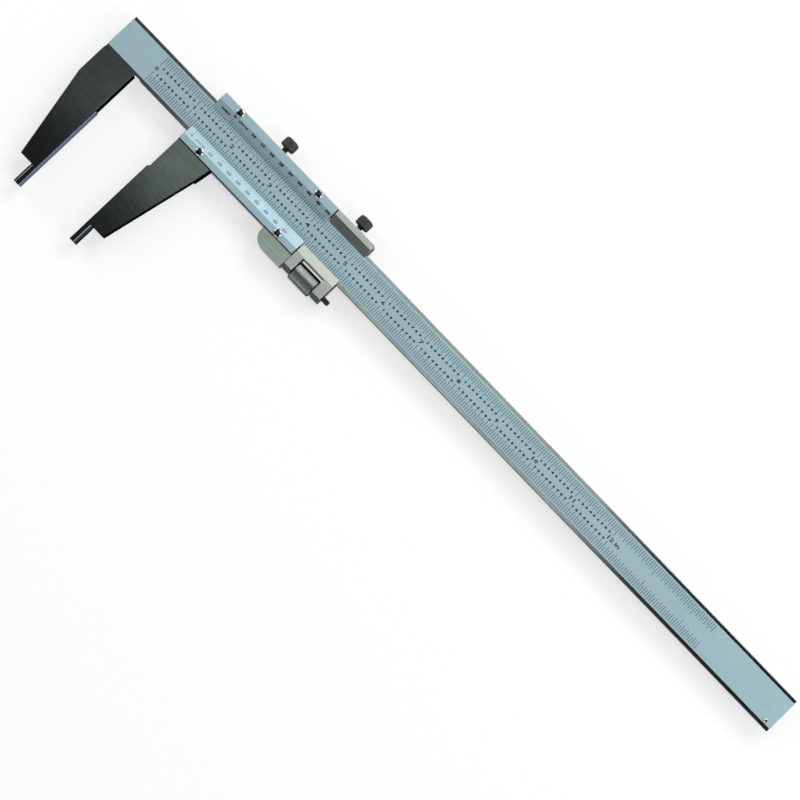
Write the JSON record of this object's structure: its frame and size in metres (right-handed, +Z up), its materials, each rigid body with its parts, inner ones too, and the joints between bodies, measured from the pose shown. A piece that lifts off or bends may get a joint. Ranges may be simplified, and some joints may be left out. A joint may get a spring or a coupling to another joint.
{
  "type": "vernier caliper",
  "caption": "Long vernier caliper with nib jaws, a sliding jaw with two bevelled vernier plates, knurled clamp screws and a fine-adjustment carriage.",
  "frame": {"origin": "under the middle of the whole caliper, on the surface that the slider's back lies on", "axes": "+X along the beam away from the jaws, +Y across the beam towards the clamp screws, +Z up out of the scale face"},
  "size_m": [0.4444, 0.1072, 0.012],
  "materials": {
    "satin_chrome": "satin chrome plate with engraved graduations",
    "ground_steel": "ground and lapped stainless steel",
    "carriage_steel": "brushed nickel-tinted steel",
    "nut_steel": "straight-knurled steel",
    "bright_steel": "polished",
    "black_steel": "black oxide",
    "gib_bronze": "phosphor bronze strip",
    "scale_ink": "dark filling of the engraved scale"
  },
  "bodies": {
    "beam": {"main_beam": "satin_chrome", "fixed_jaw": "ground_steel", "jaw_screw_1": "black_steel", "jaw_screw_2": "black_steel", "jaw_screw_3": "black_steel", "end_stop_screw": "bright_steel"},
    "slider": {"slider_frame": "ground_steel", "upper_vernier_plate": "satin_chrome", "lower_vernier_plate": "satin_chrome", "upper_plate_screw_1": "bright_steel", "upper_plate_screw_2": "bright_steel", "lower_plate_screw_1": "bright_steel", "lower_plate_screw_2": "bright_steel", "slider_gib": "gib_bronze", "gib_screw_1": "black_steel", "gib_screw_2": "black_steel", "feed_screw": "black_steel", "feed_screw_pin": "bright_steel"},
    "slider_clamp": {"slider_clamp_screw": "black_steel"},
    "carriage": {"carriage_frame": "carriage_steel", "carriage_gib": "gib_bronze"},
    "carriage_clamp": {"carriage_clamp_screw": "black_steel"},
    "nut": {"feed_nut": "nut_steel"}
  },
  "joints": [
    {"name": "slider_slide", "type": "slide", "parent": "beam", "child": "slider", "axis": [1, 0, 0], "range_m": [-0.0344, 0.2703]},
    {"name": "carriage_slide", "type": "slide", "parent": "slider", "child": "carriage", "axis": [1, 0, 0], "range_m": [-0.0004, 0.008]},
    {"name": "nut_turn", "type": "hinge", "parent": "carriage", "child": "nut", "pos_m": [-0.0787, 0.01197, 0.0055], "axis": [1, 0, 0], "range_deg": [-288, 5760]},
    {"name": "slider_clamp_turn", "type": "hinge", "parent": "slider", "child": "slider_clamp", "pos_m": [-0.12885, 0.04777, 0.0065], "axis": [0, 1, 0], "range_deg": [-72, 720]},
    {"name": "carriage_clamp_turn", "type": "hinge", "parent": "carriage", "child": "carriage_clamp", "pos_m": [-0.07815, 0.04777, 0.0065], "axis": [0, 1, 0], "range_deg": [-72, 720]}
  ],
  "couplings": [
    {"joint": "nut_turn", "follows": "carriage_slide", "rad_per_m": 12566}
  ]
}
